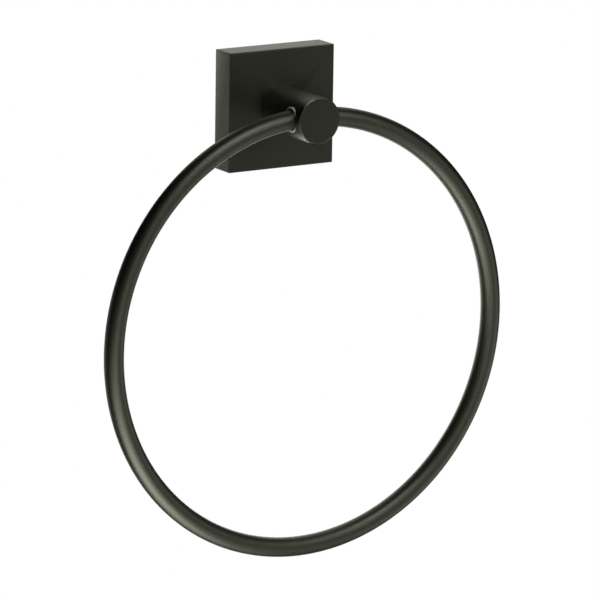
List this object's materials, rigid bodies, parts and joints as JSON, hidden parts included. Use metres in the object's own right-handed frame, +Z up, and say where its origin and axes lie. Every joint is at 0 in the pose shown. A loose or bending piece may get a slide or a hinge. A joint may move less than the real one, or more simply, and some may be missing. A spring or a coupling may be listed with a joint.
{
  "type": "towel ring",
  "caption": "Wall towel ring: a round bar ring swings in a bush through a round post on a square hollow plate that hooks over a pressed wall bracket.",
  "frame": {"origin": "middle of the wall plate's back, on the wall plane, and the centre of the bracket's two slots", "axes": "+Z up, +Y into the wall, -Y out of the wall towards the post's free end, +X to the right seen from the front"},
  "size_m": [0.19, 0.0415, 0.2107],
  "materials": {
    "plate_black": "satin powder coat",
    "post_black": "satin powder coat",
    "ring_black": "satin powder coat",
    "bush_nylon": "smooth moulded",
    "screw_steel": "bright zinc plate",
    "washer_steel": "bright zinc plate",
    "bracket_steel": "bright zinc plate",
    "grub_steel": "black oxide"
  },
  "bodies": {
    "wall_fixture": {"wall_plate": "plate_black", "post": "post_black", "ring_bush": "bush_nylon", "post_screw": "screw_steel", "post_washer": "washer_steel", "wall_bracket": "bracket_steel", "grub_screw": "grub_steel"},
    "ring": {"towel_ring": "ring_black"}
  },
  "joints": [
    {"name": "ring_swing", "type": "hinge", "parent": "wall_fixture", "child": "ring", "pos_m": [0, -0.0335, 0], "axis": [-1, 0, 0], "range_deg": [-9.2, 189.2]}
  ]
}
